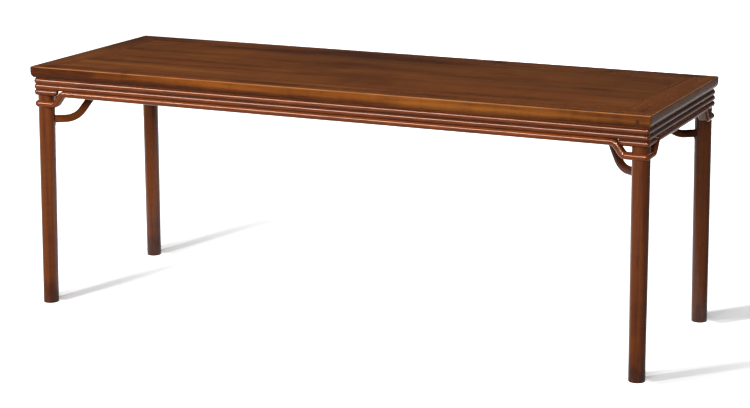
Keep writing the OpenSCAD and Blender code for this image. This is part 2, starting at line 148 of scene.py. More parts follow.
# Lamps that light the wood and don't show in its gloss: place, target, width, height and watts
KEY_PLACE = Vector((-1.81, -3.4, 3.6))
LIGHT_LAMPS = {
    "key_lamp": (KEY_PLACE, (0.0, 0.0, 0.5), 0.3, 0.3, 132),
    "fill_lamp": ((0.9, -5.2, 3.0), (0.2, 0.0, 0.6), 3.2, 1.8, 218),
    "back_fill_lamp": ((-1.0, 5.4, 1.7), (0.0, 0.0, 0.5), 3.2, 1.8, 110),
    "high_lamp": ((0.3, -0.4, 4.2), (0.0, -0.2, 0.5), 3.2, 2.2, 3),
    "back_lamp": ((3.4, 4.6, 1.5), (0.6, 0.0, 0.6), 1.6, 1.2, 10),
}

# Lamps that only show in the gloss, with the slot that a lamp is kept to
GLOSS_LAMPS = {
    "front_strip": ((-2.7, -5.1, 3.6), (0.0, 0.0, 0.7), 6.0, 1.2, 640, "moulding_wood"),
    "back_strip": ((2.9, 5.6, 3.2), (1.0, 0.0, 0.7), 2.6, 0.14, 14),
    "spark_lamp": ((2.1, -4.6, 2.7), (1.0, 0.0, 0.7), 2.6, 0.5, 330, "moulding_wood"),
    "corner_spark_lamp": ((3.06, -2.29, 2.89), (1.05, -0.36, 0.77), 0.5, 0.5, 80, "moulding_wood"),
}

# The camera: place in metres, yaw, pitch and roll in radians, lens and sensor in millimetres
CAMERA_PLACE = (2.7318, -5.8988, 1.9333)
CAMERA_TURN = (-0.4307, 0.2359, -0.0024)
CAMERA_LENS = 96.2
SENSOR_WIDTH = 36.0


# Sizes

def size(name, description, millimetres):
    """A length that the sidebar shows in metres."""
    return bpy.props.FloatProperty(
        name=name, description=description, default=millimetres * MM, min=0.0, precision=4,
        subtype="DISTANCE", unit="LENGTH",
    )


def turn_size(name, description, degrees):
    """An angle that the sidebar shows in degrees."""
    return bpy.props.FloatProperty(
        name=name, description=description, default=math.radians(degrees), subtype="ANGLE", unit="ROTATION",
    )


def colour(name, description, value):
    """A colour that the sidebar shows."""
    return bpy.props.FloatVectorProperty(
        name=name, description=description, default=value, size=3, min=0.0, max=1.0, subtype="COLOR",
    )


def span_mm(node, axis):
    """A node's extent along one axis in millimetres."""
    low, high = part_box(node)
    return (high[axis] - low[axis]) / MM


class TopSizes(bpy.types.PropertyGroup):
    """Sizes of the framed top."""

    length: size("Length", "Length of the top", (CAD_BOX[1].x - CAD_BOX[0].x) / MM)
    depth: size("Depth", "Depth of the top", (CAD_BOX[1].y - CAD_BOX[0].y) / MM)
    height: size("Height", "Height of the table", TOP_FACE / MM)
    rail_width: size("Rail width", "Width of the frame's rails", span_mm("top_rail_front", 1))
    rail_thickness: size("Rail thickness", "Thickness of the frame's rails", span_mm("top_rail_front", 2))
    arris: size("Arris", "Radius of the upper outer edge", 5)
    curve_height: size("Undercurve height", "Height of the curved lower half of the edge", 19)
    curve_depth: size("Undercurve depth", "How far the edge curves in below", 9)
    seam: size("Seam", "Half of the fine groove along each mitre", 0.25)


class MouldingSizes(bpy.types.PropertyGroup):
    """Sizes of the beads and the collars."""

    height: size("Bead height", "Height of each bead", span_mm("lower_bead_front", 2))
    depth: size("Bead depth", "Depth of each bead", 12.5)
    inset: size("Bead inset", "Distance of the beads behind the edge of the top", 6)
    face_radius: size("Face radius", "Radius of the round face", 11)
    inner_radius: size("Inner radius", "Distance of a bead's back from the axis of its turn", 0.5)
    gap_height: size("Shadow gap", "Height of the recess under the frame", 3)
    gap_inset: size("Shadow gap depth", "Distance of the recess behind the edge of the top", 11.5)
    collar_reach: size("Collar reach", "Length of a collar's arm from the corner", 99)
    collar_end: size("Collar end", "Radius of the lower corner of a collar's end", 14)
    collar_ease: size("Collar ease", "Ease on the rim of a collar's end", 0.9)


class StretcherSizes(bpy.types.PropertyGroup):
    """Sizes of the hump-back stretchers."""

    height: size("Stretcher height", "Height of a stretcher", 20)
    depth: size("Stretcher depth", "Depth of a stretcher", 34)
    face_radius: size("Face radius", "Radius of the round faces", 11)
    inset: size("Inset", "Distance behind the edge of the top", 4.5)
    wrap_radius: size("Wrap radius", "Radius of the turn round the leg", 20)
    inner_radius: size("Inner radius", "Distance of a stretcher's back from the axis of that turn", 0.5)
    level: size("Level part", "Length of the low part from the corner", 77)
    bend_radius: size("Bend radius", "Radius of the bends, along the middle", 18)
    bend_angle: turn_size("Rise", "Slope of the rising part", 53.1301)
    slope_length: size("Slope length", "Straight length of the rising part", 30.75)


class LegSizes(bpy.types.PropertyGroup):
    """Sizes of the round legs."""

    foot_radius: size("Foot radius", "Radius of the leg at the floor", 26.2)
    head_radius: size("Head radius", "Radius of the leg under the frame", 28.2)
    inset: size("Inset", "Distance of the foot's middle from the edges of the top", 29)
    lean: turn_size("Lean", "Lean of the leg towards each side", 0.7)
    foot_arris: size("Foot arris", "Ease on the lower edge of the foot", 1.6)


class BraceSizes(bpy.types.PropertyGroup):
    """Sizes of the braces, the wedges and the pins."""

    height: size("Brace height", "Height of a brace's section", 25)
    width: size("Brace width", "Width of a brace's section", 22)
    edge_radius: size("Edge radius", "Radius of the long edges", 8)
    plan: turn_size("Plan angle", "Angle of the brace from the long side in plan", 37)
    slope: turn_size("Slope", "Slope of the straight part", 53.1301)
    slope_length: size("Slope length", "Straight length of the sloping part", 111.25)
    low_radius: size("Low radius", "Radius of the lower bend, along the middle", 70)
    high_radius: size("High radius", "Radius of the upper bend, along the middle", 40)
    lap: size("Lap", "Length of the flat head under the batten", 30)
    head_x: size("Head place", "Distance of the head's pin from the end of the top", 223)
    head_ease: size("Head ease", "Ease on the rim of the head's end", 2)
    wedge_length: size("Wedge length", "Length of the wedge's outer end, the part that is drawn", 8)
    wedge_width: size("Wedge width", "Width of the wedge under the tenon", 12)
    wedge_height: size("Wedge height", "Height of the wedge under the tenon", 8)
    pin: size("Pin", "Diameter of the pins", 8)
    pin_depth: size("Pin depth", "How far a brace's pin goes into the batten", 9)
    mitre_pin: size("Mitre pin", "Length of the pins at the mitres", 20)
    proud: size("Proud", "How far pins and wedges stand out of the surface", 0.4)
    ease: size("Ease", "Ease on the edges of pins and wedges", 0.6)


class WoodColours(bpy.types.PropertyGroup):
    """Colours of the waxed wood."""

    frame_light: colour("Frame, light", "Light wood of the frame", (0.235, 0.064, 0.009))
    frame_dark: colour("Frame, dark", "Dark figure of the frame", (0.062, 0.015, 0.005))
    panel_light: colour("Panel, light", "Light wood of the panel", (0.240, 0.067, 0.010))
    panel_dark: colour("Panel, dark", "Dark streaks of the panel", (0.063, 0.017, 0.006))
    moulding_light: colour("Mouldings, light", "Light wood of beads and stretchers", (0.200, 0.041, 0.006))
    moulding_dark: colour("Mouldings, dark", "Dark streaks of beads and stretchers", (0.065, 0.014, 0.004))
    leg_light: colour("Legs, light", "Light wood of the legs", (0.190, 0.045, 0.006))
    leg_dark: colour("Legs, dark", "Dark streaks of the legs", (0.055, 0.013, 0.006))
    batten_light: colour("Battens, light", "Light wood of the battens", (0.16, 0.070, 0.032))
    batten_dark: colour("Battens, dark", "Dark streaks of the battens", (0.07, 0.028, 0.013))
    peg_light: colour("Pegs, light", "Light end grain of the pegs", (0.30, 0.150, 0.065))
    peg_dark: colour("Pegs, dark", "Dark end grain of the pegs", (0.16, 0.070, 0.028))


GROUPS = {
    "table_top": TopSizes,
    "table_mouldings": MouldingSizes,
    "table_stretchers": StretcherSizes,
    "table_legs": LegSizes,
    "table_braces": BraceSizes,
    "table_colours": WoodColours,
}


def chosen(context, *names):
    """The sidebar's settings of some groups."""
    return [getattr(context.scene, "table_" + name) for name in names]


def mm(group, *names):
    """Sizes of a group in millimetres."""
    return [getattr(group, name) / MM for name in names]


# Places

def underside(top):
    """Height of the frame's lower face in millimetres."""
    return (top.height - top.rail_thickness) / MM


def side_length(top, k):
    """Length of side k in millimetres."""
    return (top.length if k % 2 == 0 else top.depth) / MM


def on_side(top, k):
    """Places a shape on side k, drawn with x along the side, y in from the edge and z up."""
    offset = side_length(top, k + 1)
    return (
        Matrix.Rotation(math.radians(90 * k), 4, "Z")
        @ Matrix.Translation((-side_length(top, k) / 2, -offset / 2, 0))
    )


def at_corner(top, corner):
    """Places a shape at a corner, drawn with x and y in from the edges of the top."""
    flip = Matrix.Diagonal((-1 if "right" in corner else 1, -1 if "back" in corner else 1, 1, 1))
    return flip @ Matrix.Translation((-top.length / MM / 2, -top.depth / MM / 2, 0))


# Shapes

def of_kind(items, kind):
    """The vertices or the edges among the items that an operator made."""
    return [item for item in items if isinstance(item, kind)]


def everything(bm):
    """All vertices, edges and faces of a mesh."""
    return bm.verts[:] + bm.edges[:] + bm.faces[:]


class Bar:
    """A closed section that is drawn across x and then carried along runs and turns."""

    def __init__(self, bm=None, ring=()):
        self.bm = bm or bmesh.new()
        self.ring = list(ring)

    def draw(self, start, moves, x):
        """Draws the section from lines (y, z) and arcs (centre y, centre z, degrees, steps)."""
        pen = self.bm.verts.new((x, *start))
        for move in moves:
            if len(move) == 2:
                pen = bmesh.ops.extrude_vert_indiv(self.bm, verts=[pen])["verts"][0]
                pen.co = (x, *move)
                continue
            centre_y, centre_z, degrees, steps = move
            made = bmesh.ops.spin(
                self.bm, geom=[pen], cent=(x, centre_y, centre_z), axis=(1, 0, 0),
                angle=math.radians(degrees), steps=steps,
            )
            pen = of_kind(made["geom_last"], VERT)[0]
        bmesh.ops.remove_doubles(self.bm, verts=self.bm.verts[:], dist=WELD)
        self.ring = self.bm.edges[:]
        return self

    def verts(self):
        """Vertices of the open ring at the tip."""
        return list({vert for edge in self.ring for vert in edge.verts})

    def run(self, step):
        """Carries the ring straight on by a step."""
        made = bmesh.ops.extrude_edge_only(self.bm, edges=self.ring)["geom"]
        self.ring = [edge for edge in of_kind(made, EDGE) if edge.is_boundary]
        bmesh.ops.translate(self.bm, verts=of_kind(made, VERT), vec=step)

    def straight(self, step):
        """Carries the ring straight on, with a guard ring near each end that keeps the shading straight."""
        step = Vector(step)
        guard = step.normalized() * GUARD
        self.run(guard)
        self.run(step - guard * 2)
        self.run(guard)

    def turn(self, centre, axis, angle, steps):
        """Carries the ring round an axis, with the angle in radians."""
        made = bmesh.ops.spin(
            self.bm, geom=self.ring + self.verts(), cent=centre, axis=axis, angle=angle, steps=steps,
        )
        self.ring = of_kind(made["geom_last"], EDGE)

    def slope(self, x, z, angle, radii, line, steps):
        """Carries the ring round a bend, down a slope and level again, or up for a negative angle."""
        first, last = (math.copysign(radius, angle) for radius in radii)
        across, down = math.cos(angle), math.sin(angle)
        self.turn((x, 0, z - first), (0, 1, 0), angle, steps[0])
        self.straight((line * across, 0, -line * down))
        x += first * down + line * across
        z -= first * (1 - across) + line * down
        self.turn((x + last * down, 0, z + last * across), (0, 1, 0), -angle, steps[1])

    def close(self):
        """Fills every open end."""
        bmesh.ops.holes_fill(self.bm, edges=[edge for edge in self.bm.edges if edge.is_boundary], sides=0)

    def join_halves(self, plane):
        """Joins the half piece to its mirror image across a plane, and fills its ends."""
        bmesh.ops.remove_doubles(self.bm, verts=self.bm.verts[:], dist=WELD)
        bmesh.ops.mirror(self.bm, geom=everything(self.bm), matrix=plane, merge_dist=WELD, axis="X")
        self.close()


def slope_span(radii, line, angle):
    """How far on, and how far up or down, a slope leads with its bends, given the sum of their radii."""
    across, down = math.cos(angle), math.sin(angle)
    return radii * down + line * across, radii * (1 - across) + line * down


def soften(bm, edges, offset, segments=2):
    """Rounds edges by an offset."""
    bmesh.ops.bevel(
        bm, geom=edges, offset=offset, offset_type="OFFSET", segments=segments, profile=0.5,
        affect="EDGES", clamp_overlap=True, material=-1,
    )


def end_faces(bm):
    """The flat faces that close a bar's ends, the only ones with more than eight corners."""
    return [face for face in bm.faces if len(face.verts) > 8]


def rim(faces):
    """Edges round some faces."""
    return list({edge for face in faces for edge in face.edges})


def across_middle(length):
    """The plane across the middle of a side."""
    return Matrix.Translation((-length / 2, 0, 0))


def mesh_of(name, bm):
    """Writes a shape into a new mesh and lets the shape go."""
    mesh = bpy.data.meshes.new(name)
    bm.to_mesh(mesh)
    bm.free()
    return mesh


def placed(name, data):
    """A new object in the scene."""
    made = bpy.data.objects.new(name, data)
    bpy.context.scene.collection.objects.link(made)
    return made


def collection(name):
    """The collection of a name, made when there is none."""
    return bpy.data.collections.get(name) or bpy.data.collections.new(name)


def piece(node, bm, place, finish, slot):
    """Makes the finished object that stands for a node, from its shape in millimetres."""
    bmesh.ops.transform(bm, matrix=Matrix.Scale(MM, 4) @ place, verts=bm.verts[:])
    bmesh.ops.remove_doubles(bm, verts=bm.verts[:], dist=WELD * MM)
    bmesh.ops.recalc_face_normals(bm, faces=bm.faces[:])
    for face in bm.faces:
        face.smooth = True
    for edge in bm.edges:
        edge.smooth = edge.calc_face_angle(0.0) < SHARP_ANGLE
    made = placed(node + "_finished", mesh_of(node + "_finished", bm))
    made.data.materials.append(finish.material)
    collection(slot).objects.link(made)
    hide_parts(node)
    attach(made, "root")


# Materials

class Value:
    """A socket that takes part in Python expressions."""

    def __init__(self, nodes, socket):
        self.nodes = nodes
        self.socket = socket

    def __add__(self, other):
        return self.nodes.math("ADD", self, other)

    __radd__ = __add__

    def __sub__(self, other):
        return self.nodes.math("SUBTRACT", self, other)

    def __rsub__(self, other):
        return self.nodes.math("SUBTRACT", other, self)

    def __mul__(self, other):
        return self.nodes.math("MULTIPLY", self, other)

    __rmul__ = __mul__

    def clamped(self):
        """The value kept between 0 and 1."""
        return self.nodes.math("ADD", self, 0.0, clamp=True)


class Nodes:
    """The nodes of a material or of the world, added by plain calls to its own shader."""

    def __init__(self, owner, shader, output):
        owner.use_nodes = True
        self.tree = owner.node_tree
        self.shader = self.tree.nodes[shader]
        self.output = self.tree.nodes[output]

    def add(self, kind, settings=None, inputs=None, output=0):
        """Adds a node: its type, its settings first, then its sockets."""
        node = self.tree.nodes.new(kind)
        for key, value in (settings or {}).items():
            setattr(node, key, value)
        for key, value in (inputs or {}).items():
            self.feed(node.inputs[key], value)
        return Value(self, node.outputs[output])

    def feed(self, socket, value):
        """Links a value to a socket, or sets a constant there."""
        if isinstance(value, Value):
            self.tree.links.new(value.socket, socket)
        else:
            socket.default_value = value

    def set(self, **values):
        """Sets or links the shader's own sockets."""
        for key, value in values.items():
            self.feed(self.shader.inputs[key.replace("_", " ")], value)

    def surface(self, factor, first, second):
        """Shows a mix of two shaders on the surface."""
        mixed = self.add("ShaderNodeMixShader", None, {0: factor, 1: first, 2: second})
        self.feed(self.output.inputs["Surface"], mixed)

    def own(self):
        """The shader that the tree starts with."""
        return Value(self, self.shader.outputs[0])

    def ray(self, kind):
        """1 on rays of a kind, and 0 on the others."""
        return self.add("ShaderNodeLightPath", output="Is " + kind + " Ray")

    def math(self, operation, first, second=0.0, clamp=False):
        """Adds one Math node."""
        return self.add("ShaderNodeMath", {"operation": operation, "use_clamp": clamp}, {0: first, 1: second})

    def vector(self, operation, first, second=(0, 0, 0), output=0):
        """Adds one Vector Math node."""
        return self.add("ShaderNodeVectorMath", {"operation": operation}, {0: first, 1: second}, output)

    def axis(self, vector, k):
        """One coordinate of a vector."""
        return self.add("ShaderNodeSeparateXYZ", None, {0: vector}, output=k)

    def ramp(self, value, low, high, tone_low=0.0, tone_high=1.0):
        """A smooth step between two values."""
        return self.add("ShaderNodeMapRange", {"interpolation_type": "SMOOTHSTEP"}, {
            "Value": value, "From Min": low, "From Max": high, "To Min": tone_low, "To Max": tone_high,
        })


class Finish(Nodes):
    """One material."""

    def __init__(self, name):
        self.material = bpy.data.materials.new(name)
        super().__init__(self.material, "Principled BSDF", "Material Output")

    def place(self):
        """Object coordinates."""
        return self.add("ShaderNodeTexCoord", output="Object")

    def at(self, k):
        """One of the object coordinates: 0 along the table, 1 towards its back, 2 above the floor."""
        return self.axis(self.place(), k)

    def grain(self, turn, shift):
        """Object coordinates turned so that x runs with the grain."""
        return self.add("ShaderNodeMapping", {"vector_type": "TEXTURE"}, {
            "Vector": self.place(), "Location": shift, "Rotation": Euler(turn),
        })

    def noise(self, place, scale, detail=2.0, roughness=0.5, distortion=0.0):
        """Noise from 0 to 1, with a scale for each axis."""
        return self.add("ShaderNodeTexNoise", None, {
            "Vector": self.vector("MULTIPLY", place, scale), "Scale": 1.0,
            "Detail": detail, "Roughness": roughness, "Distortion": distortion,
        })

    def mix(self, factor, first, second):
        """A colour between two colours."""
        first = first if isinstance(first, Value) else (*first, 1.0)
        second = second if isinstance(second, Value) else (*second, 1.0)
        settings = {"data_type": "RGBA", "clamp_factor": True}
        return self.add("ShaderNodeMix", settings, {0: factor, 6: first, 7: second}, output=2)

    def upward(self):
        """How far the surface looks up, from -1 to 1."""
        return self.axis(self.add("ShaderNodeNewGeometry", output="Normal"), 2)

    def arris(self):
        """1 where the surface turns over from level to upright, and 0 elsewhere."""
        upward = self.upward()
        return self.ramp(upward, 0.30, 0.60) * self.ramp(upward, 0.97, 0.86)

    def turned_over(self, low, high):
        """0 on upright surfaces, rising to 1 where they look up or down."""
        return self.ramp(self.math("ABSOLUTE", self.upward()), low, high)

    def worn_edges(self, radius):
        """1 on the edges of the shape and 0 on its faces."""
        flat = self.add("ShaderNodeNewGeometry", output="True Normal")
        rounded = self.add("ShaderNodeBevel", {"samples": 4}, {"Radius": radius})
        return self.ramp(self.vector("DOT_PRODUCT", flat, rounded, output=1), 0.97, 0.80)


def hardwood(
    name, light, dark, turn=WITH_X, shift=(0, 0, 0), figure=1.0, patch=0.45, gold=0.0, marks_and_shade=None,
    gloss=0.28, specular=0.2, tint=WAX_TINT, relief=0.12, arris=0.0, groove=0.0,
):
    """Waxed hardwood with wandering streaks, fine fibre, open pores and worn edges; where asked, painted
    shade in grooves, a worn upper edge brightened as a painted highlight, and given marks and painted shade.
    """
    finish = Finish(name)
    place = finish.grain(turn, shift)
    drift = finish.noise(place, (0.9, 3.5, 3.5))
    wander = finish.add("ShaderNodeCombineXYZ", None, {1: drift * 0.05, 2: drift * 0.03})
    bent = finish.vector("ADD", place, wander)
    bands = finish.noise(bent, (0.7, 24, 24), detail=3.0, roughness=0.55, distortion=0.25)
    streaks = finish.noise(bent, (2.2, 95, 95), detail=3.0, roughness=0.6)
    fibre = finish.noise(bent, (9, 480, 480), roughness=0.6)
    pores = finish.ramp(finish.noise(bent, (28, 1100, 1100), detail=1.0), 0.60, 0.70)
    ripple = finish.noise(place, (26, 4, 4), distortion=0.8)
    patches = finish.noise(place, (1.7, 5.5, 5.5), detail=3.0, roughness=0.6, distortion=0.6)
    darkness = (
        finish.ramp(bands, 0.38, 0.68) * 0.36
        + finish.ramp(streaks, 0.35, 0.75) * 0.24
        + finish.ramp(ripple, 0.40, 0.72) * 0.09
    ) * figure + finish.ramp(patches, 0.42, 0.70) * patch
    # Painted shade: darker where the surface turns up or down, as in the grooves between beads
    if groove:
        darkness = darkness + finish.turned_over(0.30, 0.62) * groove
    # Marks passed in, some of them painted shade
    if marks_and_shade:
        darkness = darkness + marks_and_shade(finish)
    golden = (light[0] * 1.35, light[1] * 1.7, light[2] * 1.8)
    pale = tuple(min(1.0, channel * 1.45) for channel in light)
    deep = tuple(channel * 0.45 for channel in dark)
    gilt = finish.ramp(finish.noise(bent, (1.1, 13, 13), detail=3.0, distortion=0.5), 0.45, 0.68)
    body = finish.mix(darkness.clamped(), finish.mix(gilt * gold, light, golden), dark)
    body = finish.mix(finish.ramp(fibre, 0.35, 0.75) * 0.18, body, pale)
    body = finish.mix(pores * 0.5, body, deep)
    body = finish.mix(finish.worn_edges(WORN_WIDTH) * 0.3, body, pale)
    # Worn bare wood along the upper half of the arris, brightened into a painted highlight
    if arris:
        thinned = finish.ramp(finish.noise(place, (9, 2, 2)), 0.3, 0.6, 0.5, 1.0)
        body = finish.mix(finish.arris() * thinned * arris, body, ARRIS_WEAR_AND_HIGHLIGHT)
    dulled = finish.ramp(streaks, 0.3, 0.8) * 0.2 + pores * 0.7 + finish.ramp(patches, 0.35, 0.75) * 0.25
    height = fibre * 0.5 - pores * 0.8 + streaks * 0.3
    finish.set(
        Base_Color=body,
        Roughness=(dulled + 1.0) * gloss,
        Specular_IOR_Level=specular,
        Specular_Tint=tint,
        Normal=finish.add("ShaderNodeBump", None, {
            "Strength": relief, "Distance": RELIEF_DEPTH, "Height": height,
        }),
    )
    return finish


def spot(finish, centre, reach, strength):
    """A dark mark that fades out from a point of the table."""
    offset = finish.vector("SUBTRACT", finish.place(), centre)
    scaled = finish.vector("MULTIPLY", offset, tuple(1 / length for length in reach))
    return finish.ramp(finish.vector("LENGTH", scaled, output=1), 1.0, 0.1, 0.0, strength)


def front_figure_and_shade(finish):
    """The front rail's dark left end, pale stretch, painted shade on the downward undercurve, two smudges and
    a small knot.
    """
    along = finish.at(0)
    upright = finish.ramp(finish.upward(), 0.8, 0.3)
    shade = (
        finish.ramp(along, -1.0, -0.1, 0.6, -0.50) * upright
        + finish.ramp(along, 0.2, 0.9, 0.0, 0.65) * upright
        # Painted shade: darker below the flat fascia, where the edge curves in and faces down
        + finish.ramp(finish.at(2), 0.800, 0.788, 0.0, 0.4)
    )
    return sum((spot(finish, *mark) for mark in FRONT_MARKS), shade)


def top_back_darkening(finish):
    """The broad dark stretch towards the back of the top."""
    return spot(finish, *TOP_MARK)


def brace_shade(finish):
    """Painted shade on the upper part of a brace, under the beads and the top."""
    return finish.ramp(finish.at(2), 0.655, 0.71, 0.0, 0.6)


def foot_darkening(finish):
    """The lower end of a leg, darker and uneven towards the floor."""
    unevenness = finish.ramp(finish.noise(finish.place(), (60, 60, 25), detail=3.0), 0.35, 0.6, 0.4, 1.0)
    return finish.ramp(finish.at(2), 0.11, 0.015, 0.0, 0.75) * unevenness


# Marks and painted shade of the rails that have their own
RAIL_MARKS_AND_SHADE = {"front": front_figure_and_shade, "back": top_back_darkening}


def side_turn(k):
    """Grain direction of a piece along side k."""
    return WITH_X if k % 2 == 0 else WITH_Y


def repaint(node, finish):
    """Gives a node of the frame a new material."""
    shown = frame["nodes"][node]
    shown.data.materials.clear()
    shown.data.materials.append(finish.material)


# Shapes of the pieces

def rail_shape(top, length):
    """A mitred rail, with its nosing carried round half of each corner."""
    width, thick, height = mm(top, "rail_width", "rail_thickness", "height")
    radius, curve_h, curve_in, seam = mm(top, "arris", "curve_height", "curve_depth", "seam")
    low = height - thick
    curve_r = (curve_in ** 2 + curve_h ** 2) / (2 * curve_in)
    whole = math.degrees(math.asin(curve_h / curve_r))
    outer = math.degrees(math.acos((curve_r - radius) / curve_r))
    rail = Bar().draw(
        (width, low),
        [
            (curve_in, low),
            (curve_r, low + curve_h, outer - whole, 4),
            (curve_r, low + curve_h, -outer, 10),
            (0.0, height - radius),
            (radius, height - radius, -90, 8),
            (width, height),
            (width, low),
        ],
        x=length / 2,
    )
    rail.run((length / 2, 0, 0))
    for vert in rail.verts():
        vert.co.x = length - max(vert.co.y, radius) - GUARD
    rail.run((GUARD, 0, 0))
    rail.ring = [edge for edge in rail.ring if all(vert.co.y < radius + WELD for vert in edge.verts)]
    rail.turn((length - radius, radius, 0), (0, 0, 1), math.radians(45), steps=6)
    rail.join_halves(across_middle(length))
    beside_panel = [
        edge for edge in rail.bm.edges
        if all(abs(vert.co.y - width) < WELD and abs(vert.co.z - height) < WELD for vert in edge.verts)
    ]
    soften(rail.bm, rim(end_faces(rail.bm)) + beside_panel, seam, segments=1)
    return rail.bm


def round_face(height, radius):
    """A round face from edge to edge: its turn in degrees, and how far it stands out of its edges."""
    turn = 2 * math.degrees(math.asin(height / 2 / radius))
    return turn, radius - math.sqrt(radius ** 2 - (height / 2) ** 2)


def bead_outline(mouldings, low, lifted=0.0):
    """Section of a bead, with the recessed strip above it where it is lifted."""
    height, depth, inset, face_r, gap_in = mm(
        mouldings, "height", "depth", "inset", "face_radius", "gap_inset"
    )
    turn, cut = round_face(height, face_r)
    back = inset + depth
    moves = [(inset + cut, low), (inset + face_r, low + height / 2, -turn, 14)]
    if lifted:
        moves += [(gap_in, low + height), (gap_in, low + height + lifted), (back, low + height + lifted)]
    else:
        moves += [(back, low + height)]
    return (back, low), moves + [(back, low)]


def bead_turn(mouldings):
    """Distance from the edges of the top to the axis of a bead's turn."""
    return sum(mm(mouldings, "inset", "depth", "inner_radius"))


def bead_shape(top, mouldings, length, low, lifted):
    """A bead along one side, turned to its mitres."""
    axis_in = bead_turn(mouldings)
    bead = Bar().draw(*bead_outline(mouldings, low, lifted), x=length / 2)
    bead.straight((length / 2 - axis_in, 0, 0))
    bead.turn((length - axis_in, axis_in, 0), (0, 0, 1), math.radians(45), steps=10)
    bead.join_halves(across_middle(length))
    soften(bead.bm, rim(end_faces(bead.bm)), top.seam / MM, segments=1)
    return bead.bm


def collar_shape(mouldings, low):
    """A short bead turned round a corner, with the lower corners of its ends rounded."""
    height, reach, end_r, ease = mm(mouldings, "height", "collar_reach", "collar_end", "collar_ease")
    axis_in = bead_turn(mouldings)
    collar = Bar().draw(*bead_outline(mouldings, low), x=axis_in)
    middle = collar.ring
    collar.turn((axis_in, axis_in, 0), (0, 0, 1), math.radians(-45), steps=10)
    collar.ring = middle
    collar.straight((reach - end_r - axis_in, 0, 0))
    ceiling = Matrix.Translation((0, 0, -(low + height)))
    steps = 8
    before = height
    for i in range(1, steps + 1):
        angle = math.radians(90 * i / steps)
        advance = end_r * (math.sin(angle) - math.sin(math.radians(90 * (i - 1) / steps)))
        now = height - end_r * (1 - math.cos(angle))
        collar.run((advance, 0, 0))
        bmesh.ops.scale(collar.bm, vec=(1, 1, now / before), space=ceiling, verts=collar.verts())
        before = now
    collar.join_halves(Matrix.Rotation(math.radians(45), 4, "Z"))
    soften(collar.bm, rim(end_faces(collar.bm)), ease)
    return collar.bm


def bar_outline(width, height, face_r, near, middle):
    """Section of a bar with two round faces."""
    turn, cut = round_face(height, face_r)
    far = near + width
    start = (near + cut, middle - height / 2)
    return start, [
        (near + face_r, middle, -turn, 16),
        (far - cut, middle + height / 2),
        (far - face_r, middle, -turn, 16),
        start,
    ]


def stretcher_shape(top, stretchers, length, hump_z):
    """A stretcher from mitre to mitre: turned round each leg, level, rising and straight."""
    height, depth, face_r, inset, level = mm(stretchers, "height", "depth", "face_radius", "inset", "level")
    wrap_r, inner_r, bend_r, line = mm(
        stretchers, "wrap_radius", "inner_radius", "bend_radius", "slope_length"
    )
    axis_in = inset + wrap_r
    bar = Bar().draw(*bar_outline(depth, height, face_r, inset, hump_z), x=length / 2)
    bend_x = length - level - slope_span(2 * bend_r, line, stretchers.bend_angle)[0]
    bar.straight((bend_x - length / 2, 0, 0))
    bar.slope(bend_x, hump_z, stretchers.bend_angle, (bend_r, bend_r), line, steps=(12, 12))
    bar.straight((level - axis_in, 0, 0))

    # The ring doubled in place lets the turn start narrower than the straight part ends
    bar.run((0, 0, 0))
    for vert in bar.verts():
        vert.co.y = min(vert.co.y, axis_in - inner_r)
    bar.turn((length - axis_in, axis_in, 0), (0, 0, 1), math.radians(45), steps=12)
    bar.join_halves(across_middle(length))
    soften(bar.bm, rim(end_faces(bar.bm)), top.seam / MM, segments=1)
    return bar.bm


def leg_in(legs, height):
    """Distance of the leg's middle from the edges of the top at a height, in millimetres."""
    return legs.inset / MM + height * math.tan(legs.lean)


def leg_radius(legs, height, whole):
    """Radius of the leg at a height, in millimetres."""
    foot, head = mm(legs, "foot_radius", "head_radius")
    return foot + (head - foot) * height / whole


def leg_shape(legs, low_bead, whole, bead_back):
    """A round leg, cut back behind the beads above the stretchers."""
    middle = legs.inset / MM
    bm = bmesh.new()
    bmesh.ops.create_circle(
        bm, cap_ends=True, segments=72, radius=leg_radius(legs, low_bead, whole),
        matrix=Matrix.Translation((middle, middle, low_bead)),
    )
    cut_at = bead_back - low_bead * math.tan(legs.lean)
    for normal in ((1, 0, 0), (0, 1, 0)):
        bmesh.ops.bisect_plane(bm, geom=everything(bm), plane_co=(cut_at, cut_at, low_bead), plane_no=normal)
    outline = [edge for edge in bm.edges if edge.is_boundary]
    core = [
        face for face in bm.faces
        if all(vert.co.x > cut_at - WELD and vert.co.y > cut_at - WELD for vert in face.verts)
    ]
    grown = bmesh.ops.extrude_face_region(bm, geom=core)["geom"]
    bmesh.ops.delete(bm, geom=[face for face in core if face.is_valid], context="FACES_ONLY")
    bmesh.ops.translate(bm, verts=of_kind(grown, VERT), vec=(0, 0, whole - low_bead))
    shaft = Bar(bm, outline)
    steps = 12
    axis = Matrix.Translation((-middle, -middle, 0))
    for i in range(steps):
        above = leg_radius(legs, low_bead * (steps - i) / steps, whole)
        below = leg_radius(legs, low_bead * (steps - i - 1) / steps, whole)
        shaft.run((0, 0, -low_bead / steps))
        bmesh.ops.scale(bm, vec=(below / above, below / above, 1), space=axis, verts=shaft.verts())
    foot = shaft.ring
    shaft.close()
    soften(bm, foot, legs.foot_arris / MM, segments=3)
    lean = Matrix.Identity(4)
    lean[0][2] = lean[1][2] = math.tan(legs.lean)
    bmesh.ops.transform(bm, matrix=lean, verts=bm.verts[:])
    return bm


def brace_place(top, legs, braces):
    """Height of the brace at the leg, its reach to the head's pin, and the climb to the head."""
    height, line, low_r, high_r, head = mm(
        braces, "height", "slope_length", "low_radius", "high_radius", "head_x"
    )
    _, climb = slope_span(low_r + high_r, line, braces.slope)
    low = underside(top) - height / 2 - climb
    reach = (head - leg_in(legs, low)) / math.cos(braces.plan)
    return low, reach, climb


def along_brace(top, legs, braces, corner):
    """Places a shape at the leg's middle at the height of the brace, with x along the brace."""
    low, _, _ = brace_place(top, legs, braces)
    middle = leg_in(legs, low)
    return (
        at_corner(top, corner)
        @ Matrix.Translation((middle, middle, low))
        @ Matrix.Rotation(braces.plan, 4, "Z")
    )


